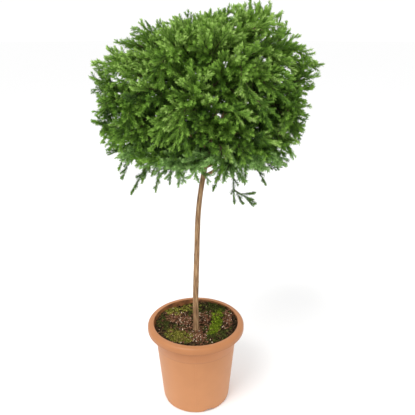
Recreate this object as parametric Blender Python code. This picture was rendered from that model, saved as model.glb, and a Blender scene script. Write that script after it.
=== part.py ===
"""Dwarf Japanese cedar grown as a standard: a bushy crown on one clear stem, in its pot.

Metres, +Z up. The origin is the middle of the pot's flat underside. +X is the right of the
plant and -Y its front. The crown is made of masses of foliage that spread from one hub on
the trunk, and each mass keeps to the wedge of space that is nearer its own axis.
"""

import math
import random

import bmesh
import bpy
from mathutils import Matrix, Vector

# Gap that touching pieces keep
GAP = 0.0003

# Pot, turned about Z
POT_HEIGHT = 0.233
RIM_RADIUS = 0.1313
RIM_ROUND = 0.009
RIM_DROP = 0.019
MOUTH_RADIUS = 0.1148
NECK_RADIUS = 0.1116
NECK_HEIGHT = 0.212
BAND_HEIGHT = 0.174
BAND_STEP = 0.0010
FOOT_RADIUS = 0.0923
FOOT_ROUND = 0.005
POT_WALL = 0.0028
POT_FLOOR = 0.010
POT_SIDES = 32
NOTCH_COUNT = 4
NOTCH_FIRST_ANGLE = math.radians(-67)
NOTCH_WIDTH = 0.032
NOTCH_HEIGHT = 0.0085
NOTCH_DEPTH = 0.009
NOTCH_SIDES = 12

# Soil in the pot
SOIL_LEVEL = 0.206
SOIL_EDGE_RISE = 0.018
SOIL_TOP = 0.2295
SOIL_BUMP = 0.0016
SOIL_FLAT_RADIUS = 0.014
SOIL_RINGS = 5
SOIL_SIDES = 24

# Where the soil is heaped or sunk at the wall: angle, extra height, half-width in degrees
SOIL_LOBES = (
    (40, 0.008, 40),
    (122, -0.006, 30),
)

# Trunk, from its flat cut on the soil to its tip inside the crown
TRUNK_FOOT_X = 0.0014
TRUNK_TOP = 0.800
TRUNK_BEND_HEIGHT = 0.37
TRUNK_BEND = 0.27
TRUNK_WAVE = 0.0016
TRUNK_FOOT_RADIUS = 0.0078
TRUNK_TOP_RADIUS = 0.0056
TRUNK_FLARE = 0.0026
TRUNK_FLARE_HEIGHT = 0.010
TRUNK_POINTS = 16

# Crown: its middle, its reach to each side, up and down, and how square its shoulders are
CROWN_MIDDLE = Vector((0.030, 0.0, 0.790))
CROWN_SIDE = 0.247
CROWN_TOP = 0.238
CROWN_BOTTOM = 0.140
CROWN_SQUARENESS = 2.6
HUB_HEIGHT = 0.755

# Lobes that swell or dent the crown: azimuth, elevation, extra reach, half-width in degrees
LOBES = (
    (0, 24, 0.036, 12),
    (0, 60, 0.034, 20),
    (180, 30, 0.026, 15),
    (180, 62, -0.014, 16),
    (180, -4, 0.014, 18),
    (180, 12, 0.014, 24),
    (180, -44, 0.036, 16),
    (0, 2, -0.012, 12),
    (0, -24, -0.026, 18),
    (-40, -52, 0.016, 14),
    (-100, 20, 0.014, 22),
    (-75, -30, 0.018, 16),
    (-130, 50, -0.012, 20),
    (80, 35, 0.020, 20),
    (120, -10, 0.016, 22),
    (95, -42, 0.030, 16),
    (50, 5, -0.014, 18),
)

# Rings of masses: name, count, first azimuth, elevation of the axes from the hub, lowest and
# highest bough on the trunk, how far out and how high the bough enters its mass
RINGS = (
    ("lower", 5, -54, -32, 0.646, 0.690, 0.074, 0.706),
    ("middle", 5, -90, 7, 0.700, 0.734, 0.080, 0.768),
    ("upper", 4, -60, 42, 0.744, 0.776, 0.060, 0.817),
)
TOP_AXIS = (10, 84)
BOUGH_ROOT_RADIUS = 0.0040
BOUGH_TIP_RADIUS = 0.0028
BOUGH_SIDES_RESOLUTION = 1
BOUGH_POINTS = 5

# Foliage: the tips that reach furthest on each side, then tips spread evenly over the crown
# and, deeper down, inside it
FAR_TIPS = (
    (0.290, -0.010, 0.912),
    (0.248, 0.015, 0.950),
    (0.208, -0.005, 1.000),
    (0.162, 0.005, 1.034),
    (0.126, -0.010, 1.045),
    (0.086, 0.005, 1.036),
    (-0.120, 0.0, 1.000),
    (-0.192, -0.010, 0.945),
    (-0.231, 0.010, 0.908),
    (-0.233, -0.010, 0.855),
    (-0.239, -0.010, 0.785),
    (-0.207, 0.0, 0.700),
    (-0.156, -0.010, 0.602),
    (-0.095, -0.020, 0.612),
    (0.127, 0.030, 0.617),
    (0.140, -0.030, 0.580),
    (0.207, 0.0, 0.662),
    (0.225, -0.015, 0.692),
)
FAR_TIP_SPACE = 0.036
TIP_LAYERS = ((150, 1.0), (80, 0.80), (40, 0.60))
TIP_JITTER = 0.05
TIP_SPACE = 0.010
LOWEST_TIP = -0.88
STEM_ROOT_RADIUS = 0.0028
TWIG_RADIUS = 0.0020
SHORTEST_SHOOT = 0.070
SPRAY_LENGTH = 0.092
BARE_SHARE = 0.18
SPRAY_CORE_RADIUS = 0.0065
TOOTH_REACH = 0.024
LEAST_REACH = 0.0070
TOOTH_LEAN = 0.90
TOOTH_WHORLS = 4
SHORT_WHORLS = 3
SHORT_SPRAY = 0.060
BRANCH_ANGLE = math.radians(48)
ROOT_TRIES = 12
SPRAY_SPACING = 0.016
CLOSE_SHARE = 0.10
LIMB_MARGIN = 0.0006
PULLS = 3
SIDES = 4
SAMPLES = 8
REFERENCE = Vector((0.31, 0.17, 0.93))
SEED = 3

TWO_PI = 2 * math.pi
GOLDEN_ANGLE = math.pi * (3 - math.sqrt(5))


def clear_scene():
    for thing in list(bpy.data.objects):
        bpy.data.objects.remove(thing, do_unlink=True)


def make_material(name, colour, roughness):
    material = bpy.data.materials.new(name)
    material.use_nodes = True
    shader = material.node_tree.nodes["Principled BSDF"]
    shader.inputs["Base Color"].default_value = (*colour, 1.0)
    shader.inputs["Roughness"].default_value = roughness
    shader.inputs["Metallic"].default_value = 0.0
    return material


def add_object(name, data, material=None):
    thing = bpy.data.objects.new(name, data)
    bpy.context.scene.collection.objects.link(thing)
    if material:
        data.materials.append(material)
    return thing


def smooth(thing, angle=35):
    thing.data.shade_smooth()
    thing.data.set_sharp_from_angle(angle=math.radians(angle))


def apply_modifiers(thing):
    """Keep the evaluated mesh as the object's own."""
    graph = bpy.context.evaluated_depsgraph_get()
    mesh = bpy.data.meshes.new_from_object(thing.evaluated_get(graph))
    thing.modifiers.clear()
    thing.data = mesh


def boolean(thing, operation, operand, solver="EXACT"):
    """Unite with a collection, or cut by an object, and apply."""
    modifier = thing.modifiers.new(operation.title(), "BOOLEAN")
    modifier.operation = operation
    modifier.solver = solver
    if isinstance(operand, bpy.types.Collection):
        modifier.operand_type = "COLLECTION"
        modifier.collection = operand
    else:
        modifier.object = operand
    apply_modifiers(thing)


def is_closed(mesh):
    """Whether every edge has two faces."""
    form = bmesh.new()
    form.from_mesh(mesh)
    closed = all(len(edge.link_faces) == 2 for edge in form.edges)
    form.free()
    return closed


def direction(azimuth, elevation):
    """Unit vector from degrees."""
    a, e = math.radians(azimuth), math.radians(elevation)
    return Vector((math.cos(a) * math.cos(e), math.sin(a) * math.cos(e), math.sin(e)))


# Pot

def pot_profile():
    """Outline of the wall in the XZ plane, down the outside and back up the inside."""
    points = []
    steps = 4
    for i in range(steps + 1):
        a = math.pi / 2 * (1 - i / steps)
        points.append((RIM_RADIUS - RIM_ROUND + RIM_ROUND * math.cos(a),
                       POT_HEIGHT - RIM_ROUND + RIM_ROUND * math.sin(a)))
    lip = POT_HEIGHT - RIM_DROP
    inside = RIM_RADIUS - POT_WALL
    points += [(RIM_RADIUS, lip), (inside, lip)]
    points += [(inside, POT_HEIGHT - RIM_ROUND), (inside - 0.005, POT_HEIGHT - POT_WALL)]
    points += [(MOUTH_RADIUS + POT_WALL, POT_HEIGHT - POT_WALL)]
    points += [(pot_outside(level) + BAND_STEP, level) for level in (NECK_HEIGHT, BAND_HEIGHT)]
    points += [(pot_outside(BAND_HEIGHT - BAND_STEP), BAND_HEIGHT - BAND_STEP)]
    steps = 3
    for i in range(steps + 1):
        a = math.pi / 2 * i / steps
        points.append((FOOT_RADIUS - FOOT_ROUND + FOOT_ROUND * math.cos(a),
                       FOOT_ROUND - FOOT_ROUND * math.sin(a)))
    points += [(0.0, 0.0), (0.0, POT_FLOOR)]
    points += [(pot_inside(POT_FLOOR), POT_FLOOR), (pot_inside(NECK_HEIGHT), NECK_HEIGHT)]
    points += [(MOUTH_RADIUS, POT_HEIGHT - POT_WALL / 2)]
    return points


def pot_outside(z):
    """Outer radius of the tapered wall at a height up to the neck."""
    return FOOT_RADIUS + (NECK_RADIUS - FOOT_RADIUS) * z / NECK_HEIGHT


def pot_inside(z):
    """Inner radius of the wall at a height."""
    if z > NECK_HEIGHT:
        neck = NECK_RADIUS - POT_WALL
        share = (z - NECK_HEIGHT) / (POT_HEIGHT - POT_WALL / 2 - NECK_HEIGHT)
        return neck + (MOUTH_RADIUS - neck) * share
    return pot_outside(z) - POT_WALL


def make_pot(material):
    points = pot_profile()
    mesh = bpy.data.meshes.new("pot")
    edges = [(i, (i + 1) % len(points)) for i in range(len(points))]
    axis_edge = next(i for i, p in enumerate(points) if p[0] == 0.0)
    edges.remove((axis_edge, axis_edge + 1))
    mesh.from_pydata([(x, 0.0, z) for x, z in points], edges, [])
    pot = add_object("pot", mesh, material)
    screw = pot.modifiers.new("Screw", "SCREW")
    screw.steps = screw.render_steps = POT_SIDES
    screw.use_merge_vertices = True
    screw.merge_threshold = 0.00005
    apply_modifiers(pot)
    for i in range(NOTCH_COUNT):
        cutter = notch_cutter(NOTCH_FIRST_ANGLE + i * TWO_PI / NOTCH_COUNT)
        boolean(pot, "DIFFERENCE", cutter)
        bpy.data.objects.remove(cutter, do_unlink=True)
    smooth(pot)
    return pot


def notch_cutter(angle):
    """Oval bar that cuts one arched drainage notch out of the foot's edge."""
    mesh = bpy.data.meshes.new("notch")
    form = bmesh.new()
    lying = Matrix.Rotation(math.pi / 2, 4, "Y")
    bmesh.ops.create_cone(form, cap_ends=True, segments=NOTCH_SIDES, radius1=1.0, radius2=1.0,
                          depth=1.0, matrix=lying)
    bmesh.ops.scale(form, vec=(2 * NOTCH_DEPTH, NOTCH_WIDTH / 2, NOTCH_HEIGHT), verts=form.verts)
    form.to_mesh(mesh)
    form.free()
    cutter = add_object("notch", mesh)
    cutter.location = (FOOT_RADIUS * math.cos(angle), FOOT_RADIUS * math.sin(angle), -GAP)
    cutter.rotation_euler = (0.0, 0.0, angle)
    bpy.context.view_layer.update()
    return cutter


# Soil

def soil_height(radius, angle):
    """Height of the soil, flat where the trunk stands on it and higher towards the wall."""
    rise = max(0.0, radius - SOIL_FLAT_RADIUS) / (NECK_RADIUS - SOIL_FLAT_RADIUS)
    bumps = math.sin(3 * angle + 70 * radius) + math.sin(5 * angle - 110 * radius + 1)
    height = SOIL_LEVEL + SOIL_EDGE_RISE * rise + SOIL_BUMP * bumps * min(1.0, 3 * rise)
    for middle, extra, width in SOIL_LOBES:
        apart = math.remainder(angle - math.radians(middle), TWO_PI)
        height += extra * math.exp(-(apart / math.radians(width)) ** 2) * rise ** 1.5
    return min(height, SOIL_TOP)


def make_soil(material):
    """Closed body that fills the pot up to the soil's bumpy top."""
    mesh = bpy.data.meshes.new("soil")
    form = bmesh.new()
    middle = form.verts.new((0.0, 0.0, SOIL_LEVEL))
    rings = []
    for ring in range(1, SOIL_RINGS + 1):
        row = []
        for i in range(SOIL_SIDES):
            angle = i * TWO_PI / SOIL_SIDES
            share = ring / SOIL_RINGS
            reach = SOIL_FLAT_RADIUS + (NECK_RADIUS - SOIL_FLAT_RADIUS) * (ring - 1) / (SOIL_RINGS - 1)
            height = soil_height(reach, angle)
            if share == 1.0:
                reach = pot_inside(height) * math.cos(math.pi / POT_SIDES) - GAP
            row.append(form.verts.new((reach * math.cos(angle), reach * math.sin(angle), height)))
        rings.append(row)
    for height in (NECK_HEIGHT, POT_FLOOR + GAP):
        reach = pot_inside(height) * math.cos(math.pi / POT_SIDES) - GAP
        rings.append([form.verts.new((reach * math.cos(i * TWO_PI / SOIL_SIDES),
                                      reach * math.sin(i * TWO_PI / SOIL_SIDES), height))
                      for i in range(SOIL_SIDES)])
    for i in range(SOIL_SIDES):
        j = (i + 1) % SOIL_SIDES
        form.faces.new((middle, rings[0][i], rings[0][j]))
        for low, high in zip(rings, rings[1:]):
            form.faces.new((low[i], high[i], high[j], low[j]))
    form.faces.new(list(reversed(rings[-1])))
    bmesh.ops.triangulate(form, faces=form.faces)
    form.to_mesh(mesh)
    form.free()
    soil = add_object("soil", mesh, material)
    smooth(soil, 60)
    return soil


# Trunk and boughs

def trunk_point(z):
    """Middle of the trunk at a height: upright, gently waved, then leaning to the right."""
    lean = TRUNK_BEND * max(0.0, z - TRUNK_BEND_HEIGHT) ** 2
    wave = TRUNK_WAVE * math.sin((z - SOIL_LEVEL) * 21)
    sway = TRUNK_WAVE * math.sin((z - SOIL_LEVEL) * 13)
    return Vector((TRUNK_FOOT_X + lean - wave, sway, z))


def trunk_radius(z):
    share = (z - SOIL_LEVEL) / (TRUNK_TOP - SOIL_LEVEL)
    flare = TRUNK_FLARE * math.exp(-(z - SOIL_LEVEL) / TRUNK_FLARE_HEIGHT)
    return TRUNK_FOOT_RADIUS + (TRUNK_TOP_RADIUS - TRUNK_FOOT_RADIUS) * share + flare


def add_limb(name, points, radii, resolution, material=None):
    """Tapering limb: a bevelled curve with filled ends, kept as a mesh."""
    curve = bpy.data.curves.new(name, "CURVE")
    curve.dimensions = "3D"
    curve.bevel_depth = 1.0
    curve.bevel_resolution = resolution
    curve.use_fill_caps = True
    spline = curve.splines.new("POLY")
    spline.points.add(len(points) - 1)
    for target, point, radius in zip(spline.points, points, radii):
        target.co = (*point, 1.0)
        target.radius = radius
    limb = add_object(name, curve)
    bpy.context.view_layer.update()
    graph = bpy.context.evaluated_depsgraph_get()
    mesh = bpy.data.meshes.new_from_object(limb.evaluated_get(graph))
    bpy.data.objects.remove(limb, do_unlink=True)
    mesh.name = name
    form = bmesh.new()
    form.from_mesh(mesh)
    bmesh.ops.remove_doubles(form, verts=form.verts, dist=0.000001)
    bmesh.ops.recalc_face_normals(form, faces=form.faces)
    form.to_mesh(mesh)
    form.free()
    mesh.materials.clear()
    limb = add_object(name, mesh, material)
    smooth(limb, 50)
    return limb


def trunk_heights():
    """Heights of the trunk's points, closer together in the root flare."""
    foot = SOIL_LEVEL + GAP
    shares = [(i / (TRUNK_POINTS - 1)) ** 1.25 for i in range(TRUNK_POINTS)]
    return [foot + (TRUNK_TOP - foot) * share for share in shares]


def make_trunk(material, grown=0.0):
    heights = trunk_heights()
    points = [trunk_point(z) for z in heights]
    points[0].xy = points[1].xy
    radii = [trunk_radius(z) + grown for z in heights]
    return add_limb("trunk", points, radii, 2, material)


def bezier(start, bend, end, t):
    return start * (1 - t) ** 2 + bend * (2 * t * (1 - t)) + end * t ** 2


class Limb:
    """A bough's curve from the trunk to the place where it enters its mass."""

    def __init__(self, azimuth, height, out, entry_height):
        outward = direction(azimuth, 0)
        self.start = trunk_point(height)
        middle = trunk_point(HUB_HEIGHT)
        self.end = Vector((middle.x, middle.y, entry_height)) + outward * out
        rise = (self.end.z - self.start.z) * 0.35
        self.bend = self.start.lerp(self.end, 0.5)
        self.bend.z = self.start.z + rise
        self.points = [bezier(self.start, self.bend, self.end, i / (BOUGH_POINTS - 1))
                       for i in range(BOUGH_POINTS)]
        self.radii = [BOUGH_ROOT_RADIUS + (BOUGH_TIP_RADIUS - BOUGH_ROOT_RADIUS) * i / (BOUGH_POINTS - 1)
                      for i in range(BOUGH_POINTS)]
        self.heading = (self.end - self.bend).normalized()


def make_bough(name, limb, sleeve, material):
    """Bough whose root is cut to the trunk's round side."""
    bough = add_limb(name, limb.points, limb.radii, BOUGH_SIDES_RESOLUTION, material)
    boolean(bough, "DIFFERENCE", sleeve)
    keep_main_shell(bough)
    smooth(bough, 50)
    return bough


# Shape of the crown

def crown_reach(toward):
    """Distance from the crown's middle to its outline in a direction."""
    level = math.hypot(toward.x, toward.y)
    depth = CROWN_TOP if toward.z > 0 else CROWN_BOTTOM
    n = CROWN_SQUARENESS
    reach = ((level / CROWN_SIDE) ** n + (abs(toward.z) / depth) ** n) ** (-1 / n)
    for azimuth, elevation, extra, width in LOBES:
        apart = toward.angle(direction(azimuth, elevation))
        reach += extra * math.exp(-(apart / math.radians(width)) ** 2)
    return reach


def spread_directions(count, turn):
    """Directions spread evenly over the crown, leaving out the space round the trunk."""
    found = []
    for i in range(count):
        z = 1 - (i + 0.5) * 2 / count
        if z < LOWEST_TIP:
            break
        level = math.sqrt(1 - z * z)
        angle = i * GOLDEN_ANGLE + turn
        found.append(Vector((level * math.cos(angle), level * math.sin(angle), z)))
    return found


class Mass:
    """One mass of foliage: its name, axis from the hub, and the bough that carries it."""

    def __init__(self, name, axis, limb):
        self.name = name
        self.axis = axis
        self.limb = limb
        self.tips = []
        self.shoots = []


def plan_masses():
    masses = []
    for name, count, first, elevation, lowest, highest, out, entry in RINGS:
        order = [(i * 2) % count + (i * 2 // count) * (1 - count % 2) for i in range(count)]
        for i in range(count):
            azimuth = first + i * 360 / count
            height = lowest + (highest - lowest) * order[i] / (count - 1)
            limb = Limb(azimuth, height, out, entry)
            masses.append(Mass(f"{name}_{i + 1}", direction(azimuth, elevation), limb))
    masses.append(Mass("top", direction(*TOP_AXIS), None))
    return masses


def clearance(point, mass, masses, hub):
    """How far a point lies inside the wedge of space that belongs to a mass."""
    least = 1.0
    for other in masses:
        if other is not mass:
            across = (mass.axis - other.axis).normalized()
            least = min(least, (point - hub).dot(across))
    return least


def spread_tips(masses, hub, rng):
    """Give each mass the tips that its shoots grow to, the crown's furthest ones first."""
    far = [Vector(tip) for tip in FAR_TIPS]
    tips = list(far)
    for count, depth in TIP_LAYERS:
        for toward in spread_directions(count, depth * 5):
            share = depth * (1 - TIP_JITTER * rng.random())
            tip = CROWN_MIDDLE + toward * crown_reach(toward) * share
            if all((tip - other).length > FAR_TIP_SPACE for other in far):
                tips.append(tip)
    for tip in tips:
        owner = max(masses, key=lambda mass: (tip - hub).normalized().dot(mass.axis))
        owner.tips.append(drawn_in(tip, owner, masses, hub))


def drawn_in(tip, mass, masses, hub):
    """A tip moved just far enough from the sides of its mass's wedge."""
    for other in masses:
        if other is not mass:
            across = (mass.axis - other.axis).normalized()
            lack = TIP_SPACE - (tip - hub).dot(across)
            if lack > 0:
                tip = tip + across * lack
    return tip


# Shoots

class Shoot:
    """A twig that ends in a spray: its curve, its bare part and the reach of its teeth."""

    def __init__(self, start, heading, tip, radius, rng):
        self.start = start
        self.tip = tip
        span = (tip - start).length
        self.bend = start + heading.normalized() * span * 0.45
        bent = (self.bend - start).length + (tip - self.bend).length
        self.length = (bent + span) / 2
        self.spray_start = max(BARE_SHARE, 1 - SPRAY_LENGTH / self.length)
        self.spray = self.length * (1 - self.spray_start)
        self.radius = radius
        self.reach = TOOTH_REACH * min(1.0, 0.45 + 0.55 * self.spray / SPRAY_LENGTH)
        self.turn = rng.random() * TWO_PI

    def at(self, t):
        return bezier(self.start, self.bend, self.tip, t)

    def heading(self, t):
        return ((self.bend - self.start) * (1 - t) + (self.tip - self.bend) * t).normalized()

    def fullness(self, t):
        """Share of the teeth's full reach at a place on the spray: fullest before its middle."""
        share = (t - self.spray_start) / (1 - self.spray_start)
        return min(1.0, 0.66 + 1.6 * share) * (1 - 0.78 * share ** 1.8)

    def samples(self, first=0.0):
        return [first + (1 - first) * i / SAMPLES for i in range(SAMPLES + 1)]


def shoot_rings(shoot):
    """Rings of a shoot: its bare twig, then whorls of two forward teeth, each a quarter turn on."""
    whorls = TOOTH_WHORLS if shoot.spray > SHORT_SPRAY else SHORT_WHORLS
    step = (1 - shoot.spray_start) / (whorls + 1.25)
    places = [(0.0, None), (shoot.spray_start, None)]
    places += [(shoot.spray_start + step * (i + 0.45), i) for i in range(whorls)]
    rings = []
    for place, whorl in places:
        along = shoot.heading(place)
        across = along.cross(REFERENCE).normalized()
        up = along.cross(across)
        row = []
        for side in range(SIDES):
            angle = shoot.turn + side * TWO_PI / SIDES
            outward = across * math.cos(angle) + up * math.sin(angle)
            if whorl is None:
                row.append(shoot.at(place) + outward * shoot.radius)
            elif (side + whorl) % 2:
                row.append(shoot.at(place) + outward * SPRAY_CORE_RADIUS * (1 - 0.1 * whorl))
            else:
                forward = min(1.0, place + step * TOOTH_LEAN)
                row.append(shoot.at(forward) + outward * shoot.reach * shoot.fullness(place))
        rings.append(row)
    return rings


def add_swept(name, rings, tip, collection):
    """Closed mesh through rings of points, flat at its root and pointed at its tip."""
    form = bmesh.new()
    rows = [[form.verts.new(point) for point in row] for row in rings]
    end = form.verts.new(tip)
    form.faces.new(list(reversed(rows[0])))
    for low, high in zip(rows, rows[1:]):
        for i in range(SIDES):
            j = (i + 1) % SIDES
            form.faces.new((low[i], low[j], high[j], high[i]))
    for i in range(SIDES):
        form.faces.new((rows[-1][i], rows[-1][(i + 1) % SIDES], end))
    bmesh.ops.triangulate(form, faces=form.faces)
    bmesh.ops.recalc_face_normals(form, faces=form.faces)
    mesh = bpy.data.meshes.new(name)
    form.to_mesh(mesh)
    form.free()
    thing = bpy.data.objects.new(name, mesh)
    collection.objects.link(thing)
    return thing


def likely_roots(tip, shoots):
    """Places on the mass's twigs from which a shoot could reach a tip, the best first."""
    found = []
    for shoot in shoots:
        last = shoot.spray_start + 0.45 * (1 - shoot.spray_start)
        for i in range(2, SAMPLES + 1):
            t = last * i / SAMPLES
            point, along = shoot.at(t), shoot.heading(t)
            way = tip - point
            bend = max(0.0, along.angle(way) - BRANCH_ANGLE)
            cost = way.length * (1 + 2.2 * bend) + 2 * max(0.0, SHORTEST_SHOOT - way.length)
            found.append((cost, len(found), point, (along * 0.35 + way.normalized()).normalized()))
    return [entry[2:] for entry in sorted(found, key=lambda entry: entry[:2])[:ROOT_TRIES]]


def distance_to_segment(point, a, b):
    along = b - a
    t = max(0.0, min(1.0, (point - a).dot(along) / along.length_squared))
    return (point - a - along * t).length


def room_for(shoot, mass, masses, hub, limbs):
    """Longest teeth that keep a shoot in its mass's space and clear of the limbs, or none."""
    reach = shoot.reach
    for t in shoot.samples()[1:]:
        point = shoot.at(t)
        space = clearance(point, mass, masses, hub)
        for points, radii in limbs:
            for a, b, radius in zip(points, points[1:], radii):
                space = min(space, distance_to_segment(point, a, b) - radius)
        space -= LIMB_MARGIN
        if space < max(shoot.radius, SPRAY_CORE_RADIUS):
            return 0.0
        if t > shoot.spray_start:
            reach = min(reach, space / shoot.fullness(t))
    return reach


def crowded(shoot, others):
    """Whether the outer half of a spray runs too close beside another spray."""
    for other in others:
        for t in shoot.samples(shoot.spray_start + CLOSE_SHARE * (1 - shoot.spray_start)):
            for s in other.samples(other.spray_start + CLOSE_SHARE * (1 - other.spray_start)):
                if (shoot.at(t) - other.at(s)).length < SPRAY_SPACING:
                    return True
    return False


def grow_mass(mass, masses, hub, limbs, rng):
    """Grow the stem to the tip nearest the mass's axis, then a shoot to each tip it has room for."""
    if mass.limb:
        start = mass.limb.end + mass.limb.heading * GAP
        heading = mass.limb.heading
    else:
        start = trunk_point(TRUNK_TOP) + Vector((0, 0, GAP))
        heading = trunk_point(TRUNK_TOP) - trunk_point(TRUNK_TOP - 0.02)
    main_tip = max(mass.tips, key=lambda tip: (tip - hub).normalized().dot(mass.axis))
    stem = Shoot(start, heading, main_tip, STEM_ROOT_RADIUS, rng)
    stem.reach = room_for(stem, mass, masses, hub, limbs) or SPRAY_CORE_RADIUS
    mass.shoots = [stem]
    for tip in mass.tips:
        if tip is not main_tip:
            shoot = shoot_to(tip, mass, masses, hub, limbs, rng)
            if shoot:
                mass.shoots.append(shoot)


def shoot_to(tip, mass, masses, hub, limbs, rng):
    """A shoot to a tip, or to a place a little short of it, that has room from some root."""
    stem = mass.shoots[0]
    for pull in range(PULLS):
        goal = tip + (stem.at(0.8) - tip) * 0.12 * pull
        for root, along in likely_roots(goal, mass.shoots):
            shoot = Shoot(root, along, goal, TWIG_RADIUS, rng)
            shoot.reach = room_for(shoot, mass, masses, hub, limbs)
            if shoot.reach > LEAST_REACH and not crowded(shoot, mass.shoots):
                return shoot
    return None


def keep_main_shell(thing):
    """Drop loose scraps and fill sealed hollows: only the largest shell stays."""
    form = bmesh.new()
    form.from_mesh(thing.data)
    shells = []
    unseen = set(form.verts)
    while unseen:
        stack = [unseen.pop()]
        shell = set(stack)
        while stack:
            for edge in stack.pop().link_edges:
                for vert in edge.verts:
                    if vert in unseen:
                        unseen.discard(vert)
                        shell.add(vert)
                        stack.append(vert)
        shells.append(shell)
    shells.sort(key=len)
    for shell in shells[:-1]:
        bmesh.ops.delete(form, geom=list(shell), context="VERTS")
    bmesh.ops.triangulate(form, faces=form.faces)
    form.to_mesh(thing.data)
    form.free()


def make_mass(mass, material):
    """Fuse a mass's stem and shoots into one body."""
    collection = bpy.data.collections.new("shoots")
    bpy.context.scene.collection.children.link(collection)
    stem = mass.shoots[0]
    for shoot in mass.shoots[1:]:
        add_swept("shoot", shoot_rings(shoot), shoot.tip, collection)
    body = add_swept("foliage_" + mass.name, shoot_rings(stem), stem.tip,
                     bpy.context.scene.collection)
    body.data.materials.append(material)
    bpy.context.view_layer.update()
    single = body.data.copy()
    for solver in ("EXACT", "MANIFOLD"):
        body.data = single
        boolean(body, "UNION", collection, solver)
        keep_main_shell(body)
        if is_closed(body.data):
            break
    for thing in list(collection.objects):
        bpy.data.objects.remove(thing, do_unlink=True)
    bpy.data.collections.remove(collection)
    return body


def build():
    clear_scene()
    terracotta = make_material("pot_plastic", (0.66, 0.30, 0.14), 0.5)
    earth = make_material("soil", (0.08, 0.055, 0.03), 0.95)
    bark = make_material("bark", (0.30, 0.16, 0.08), 0.85)
    needles = make_material("needles", (0.07, 0.13, 0.03), 0.6)

    make_pot(terracotta)
    make_soil(earth)
    make_trunk(bark)

    rng = random.Random(SEED)
    hub = trunk_point(HUB_HEIGHT)
    masses = plan_masses()
    spread_tips(masses, hub, rng)
    heights = trunk_heights()
    limbs = [([trunk_point(z) for z in heights], [trunk_radius(z) for z in heights])]
    limbs += [(mass.limb.points, mass.limb.radii) for mass in masses if mass.limb]

    sleeve = make_trunk(None, GAP)
    for mass in masses:
        if mass.limb:
            make_bough("bough_" + mass.name, mass.limb, sleeve, bark)
    bpy.data.objects.remove(sleeve, do_unlink=True)

    for mass in masses:
        others = [limb for limb in limbs if not (mass.limb and limb[0] is mass.limb.points)]
        grow_mass(mass, masses, hub, others, rng)
        make_mass(mass, needles)


build()
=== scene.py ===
"""Looks of a potted dwarf Japanese cedar grown as a standard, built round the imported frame.

Metres, +Z up. The origin is the middle of the pot's underside, +X is the plant's right and -Y
its front. The crown follows the part's own rule: masses of foliage spread from one hub on the
trunk, each from the end of its bough, and here every mass is carried on to fine needled sprays.
"""

import math
import random

import bpy
import numpy as np
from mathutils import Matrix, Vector

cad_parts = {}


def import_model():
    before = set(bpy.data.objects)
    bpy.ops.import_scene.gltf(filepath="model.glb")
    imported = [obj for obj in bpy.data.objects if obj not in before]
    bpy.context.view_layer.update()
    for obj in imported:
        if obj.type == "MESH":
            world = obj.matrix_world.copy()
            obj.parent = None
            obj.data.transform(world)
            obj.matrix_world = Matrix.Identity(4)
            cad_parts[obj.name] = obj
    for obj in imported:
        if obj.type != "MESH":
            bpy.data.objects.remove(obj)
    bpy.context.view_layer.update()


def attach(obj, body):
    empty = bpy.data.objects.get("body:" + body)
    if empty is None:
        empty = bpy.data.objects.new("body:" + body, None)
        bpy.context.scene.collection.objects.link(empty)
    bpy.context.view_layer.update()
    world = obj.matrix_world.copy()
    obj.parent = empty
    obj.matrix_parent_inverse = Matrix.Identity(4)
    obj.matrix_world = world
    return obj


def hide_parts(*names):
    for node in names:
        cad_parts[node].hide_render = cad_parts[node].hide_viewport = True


TWO_PI = 2 * math.pi
GOLDEN_ANGLE = math.pi * (3 - math.sqrt(5))
REFERENCE = np.array((0.31, 0.17, 0.93))

# Pot
POT_HEIGHT = 0.233
RIM_RADIUS = 0.1313
RIM_ROUND = 0.009
RIM_DROP = 0.019
MOUTH_RADIUS = 0.1148
NECK_RADIUS = 0.1116
NECK_HEIGHT = 0.212
BAND_HEIGHT = 0.174
BAND_STEP = 0.0010
FOOT_RADIUS = 0.0923
FOOT_ROUND = 0.005
POT_WALL = 0.0028
POT_FLOOR = 0.010
POT_SIDES = 160
WALL_STEPS = 12
MOUTH_ROUND = 0.0015
AXIS_GAP = 0.0002
WELD_GAP = 0.00001
SHARP_EDGE = math.radians(40)

# Colours up the pot's outside, as share of its height and colour, with painted shade under the rim and
# at the band's step; its mottling, and inner dirt with painted shade
POT_COLOURS_AND_PAINTED_SHADE = (
    (0.00, (0.540, 0.240, 0.098)),
    (0.45, (0.500, 0.215, 0.084)),
    (0.73, (0.480, 0.202, 0.076)),
    # painted shade: a thin dark line at the band's step
    (0.744, (0.410, 0.164, 0.058)),
    (0.756, (0.472, 0.190, 0.068)),
    # painted shade under the rim, deepest in a dark crease just below its lip
    (0.84, (0.455, 0.176, 0.060)),
    (0.90, (0.250, 0.090, 0.029)),
    (0.930, (0.405, 0.160, 0.054)),
    (1.00, (0.440, 0.180, 0.066)),
)
POT_CLOUD = ((0.3, (0.94, 0.93, 0.92)), (0.7, (1.0, 1.0, 1.0)))
# Inside the pot, a dark mottle that is partly dirt and partly painted shade
POT_DIRT_AND_PAINTED_SHADE = ((0.35, (0.100, 0.036, 0.010)), (0.65, (0.300, 0.110, 0.032)))

# Mould seams, and the drainage notches in the foot
SEAM_HEIGHT = 0.00035
SEAM_WIDTH = 0.007
SEAM_ANGLES = (-math.pi / 2, math.pi / 2)
NOTCH_COUNT = 4
NOTCH_FIRST_ANGLE = math.radians(-67)
NOTCH_WIDTH = 0.032
NOTCH_HEIGHT = 0.0085
NOTCH_DEPTH = 0.009
NOTCH_SINK = 0.0003
NOTCH_SIDES = 32

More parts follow.
